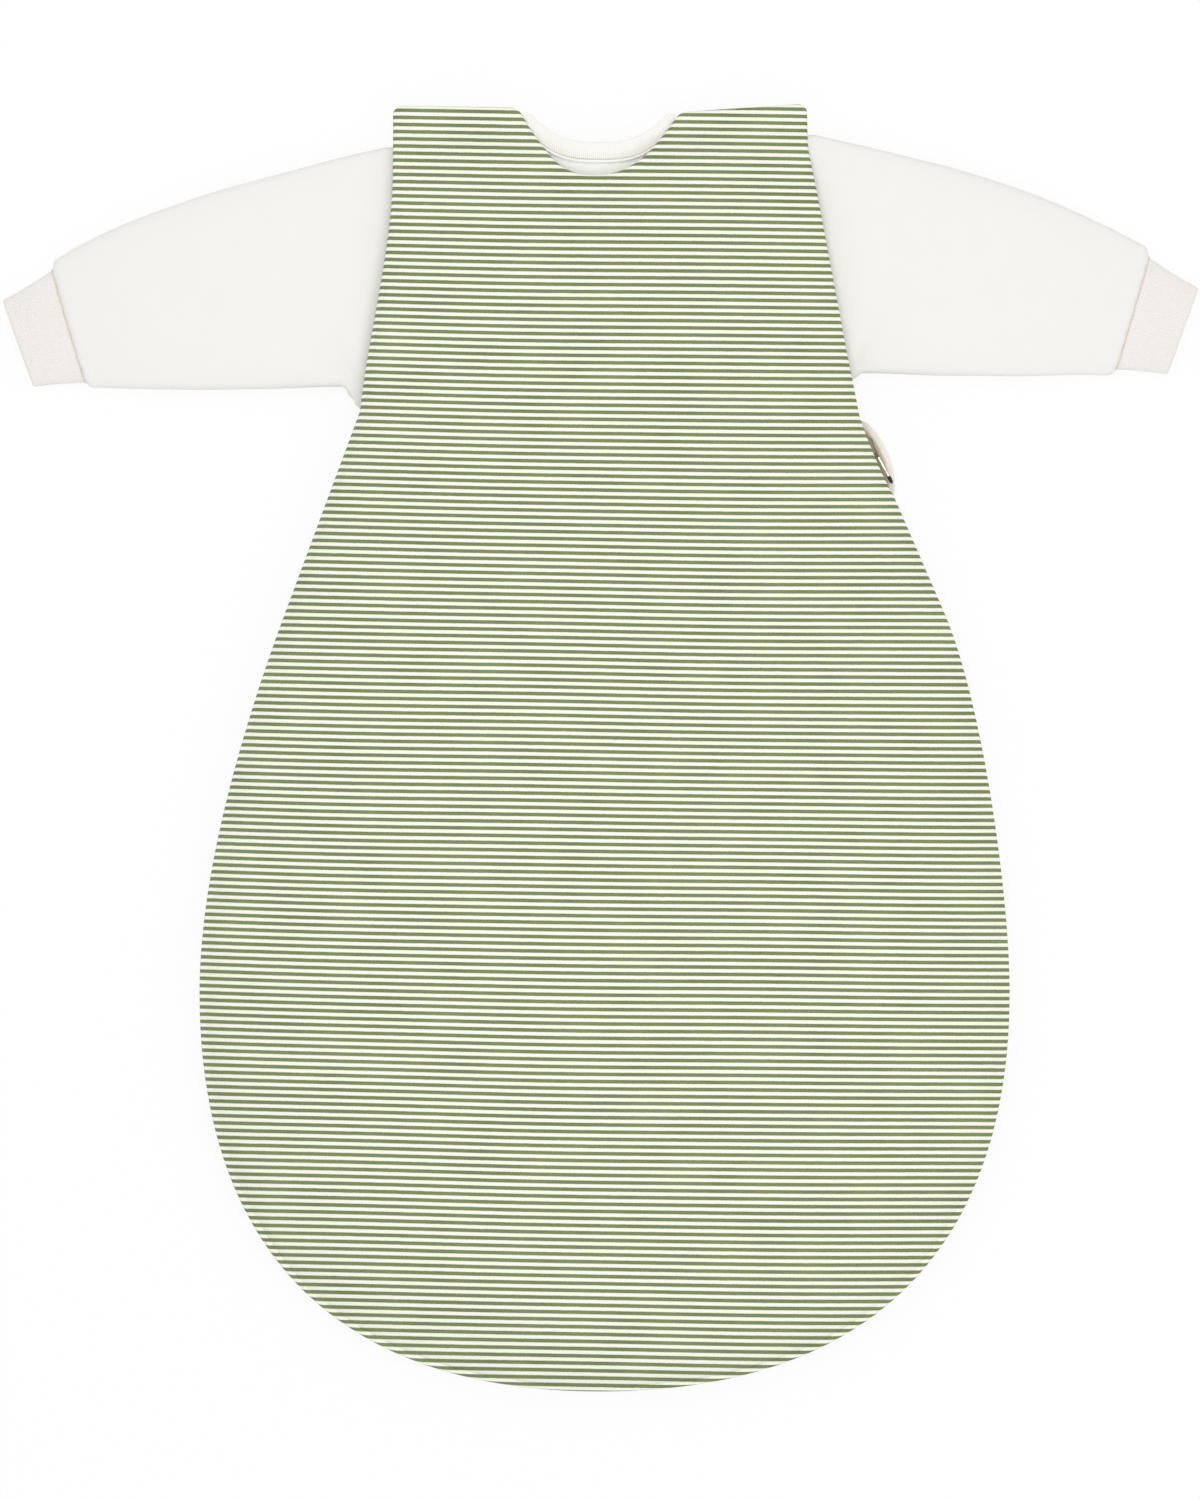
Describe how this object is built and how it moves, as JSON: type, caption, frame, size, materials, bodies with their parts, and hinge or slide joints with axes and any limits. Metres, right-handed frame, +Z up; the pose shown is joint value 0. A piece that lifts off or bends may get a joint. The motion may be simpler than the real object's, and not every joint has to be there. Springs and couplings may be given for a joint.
{
  "type": "baby sleeping bag",
  "caption": "Pear-shaped quilted sleeping bag for a baby, striped outside, zipped round the edge, with snap shoulders and a long-sleeved inner bag.",
  "frame": {"origin": "on the surface that it lies on, under the middle of the bounding box", "axes": "+Y to the head end, +X to the wearer's left, +Z up through the front; it lies on its back"},
  "size_m": [0.6526, 0.6996, 0.0628],
  "materials": {
    "striped_jersey": "fine horizontal sage green and ivory stripes, soft cotton jersey",
    "wadding": "soft white polyester fleece",
    "lining_jersey": "plain cream cotton jersey",
    "inner_jersey": "plain off-white cotton jersey",
    "rib_knit": "off-white ribbed knit",
    "zip_tape": "woven cream tape",
    "zip_coil": "cream nylon coil",
    "zip_metal": "polished nickel plate",
    "snap_metal": "satin nickel plate",
    "snap_resin": "white resin"
  },
  "bodies": {
    "outer_bag": {"outer_back_shell": "striped_jersey", "outer_back_wadding": "wadding", "outer_back_lining": "lining_jersey", "chest_shell": "striped_jersey", "chest_wadding": "wadding", "chest_lining": "lining_jersey", "strap_snap_studs": "snap_metal", "strap_snap_rings": "snap_metal", "side_seam": "striped_jersey", "back_zip_tape": "zip_tape", "back_zip_coil": "zip_coil", "chest_zip_tape": "zip_tape", "chest_zip_coil": "zip_coil", "zip_top_stops": "zip_metal", "zip_end_stop": "zip_metal", "zip_garage": "lining_jersey", "inner_back": "inner_jersey", "inner_front_under": "inner_jersey", "inner_front_over": "inner_jersey", "neckband_back": "rib_knit", "neckband_front": "rib_knit", "placket_snap_caps": "snap_resin", "placket_snap_sockets": "snap_resin", "placket_snap_studs": "snap_resin", "placket_snap_rings": "snap_resin", "left_sleeve_head": "inner_jersey", "right_sleeve_head": "inner_jersey"},
    "front_flap": {"flap_shell": "striped_jersey", "flap_wadding": "wadding", "flap_lining": "lining_jersey", "flap_zip_tape": "zip_tape", "flap_zip_coil": "zip_coil"},
    "slider": {"zip_slider": "zip_metal"},
    "pull_tab": {"zip_pull_tab": "zip_metal"},
    "left_strap": {"left_strap_shell": "striped_jersey", "left_strap_wadding": "wadding", "left_strap_lining": "lining_jersey", "strap_snap_sockets_left": "snap_metal"},
    "right_strap": {"right_strap_shell": "striped_jersey", "right_strap_wadding": "wadding", "right_strap_lining": "lining_jersey", "strap_snap_sockets_right": "snap_metal"},
    "left_sleeve": {"left_sleeve": "inner_jersey", "left_cuff": "rib_knit"},
    "right_sleeve": {"right_sleeve": "inner_jersey", "right_cuff": "rib_knit"}
  },
  "joints": [
    {"name": "front_flap_fold", "type": "hinge", "parent": "outer_bag", "child": "front_flap", "pos_m": [0, 0.0752, 0.0512], "axis": [-1, 0, 0], "range_deg": [0, 120]},
    {"name": "left_sleeve_fold", "type": "hinge", "parent": "outer_bag", "child": "left_sleeve", "pos_m": [-0.1248, 0.2605, 0.0255], "axis": [0.1238, 0.9923, 0], "range_deg": [0, 120]},
    {"name": "right_sleeve_fold", "type": "hinge", "parent": "outer_bag", "child": "right_sleeve", "pos_m": [0.1288, 0.266, 0.0255], "axis": [0.1899, -0.9818, 0], "range_deg": [0, 120]},
    {"name": "left_strap_open", "type": "hinge", "parent": "outer_bag", "child": "left_strap", "pos_m": [-0.07, 0.3278, 0.0229], "axis": [-1, 0, 0], "range_deg": [-150, 0]},
    {"name": "right_strap_open", "type": "hinge", "parent": "outer_bag", "child": "right_strap", "pos_m": [0.07, 0.3278, 0.0229], "axis": [-1, 0, 0], "range_deg": [-150, 0]},
    {"name": "zip_slide", "type": "slide", "parent": "outer_bag", "child": "slider", "axis": [0.3976, -0.9176, 0], "range_m": [0, 0.075]},
    {"name": "pull_tab_swing", "type": "hinge", "parent": "slider", "child": "pull_tab", "pos_m": [0.14724, 0.16764, 0.0148], "axis": [0, 0, 1], "range_deg": [0, 150]}
  ]
}
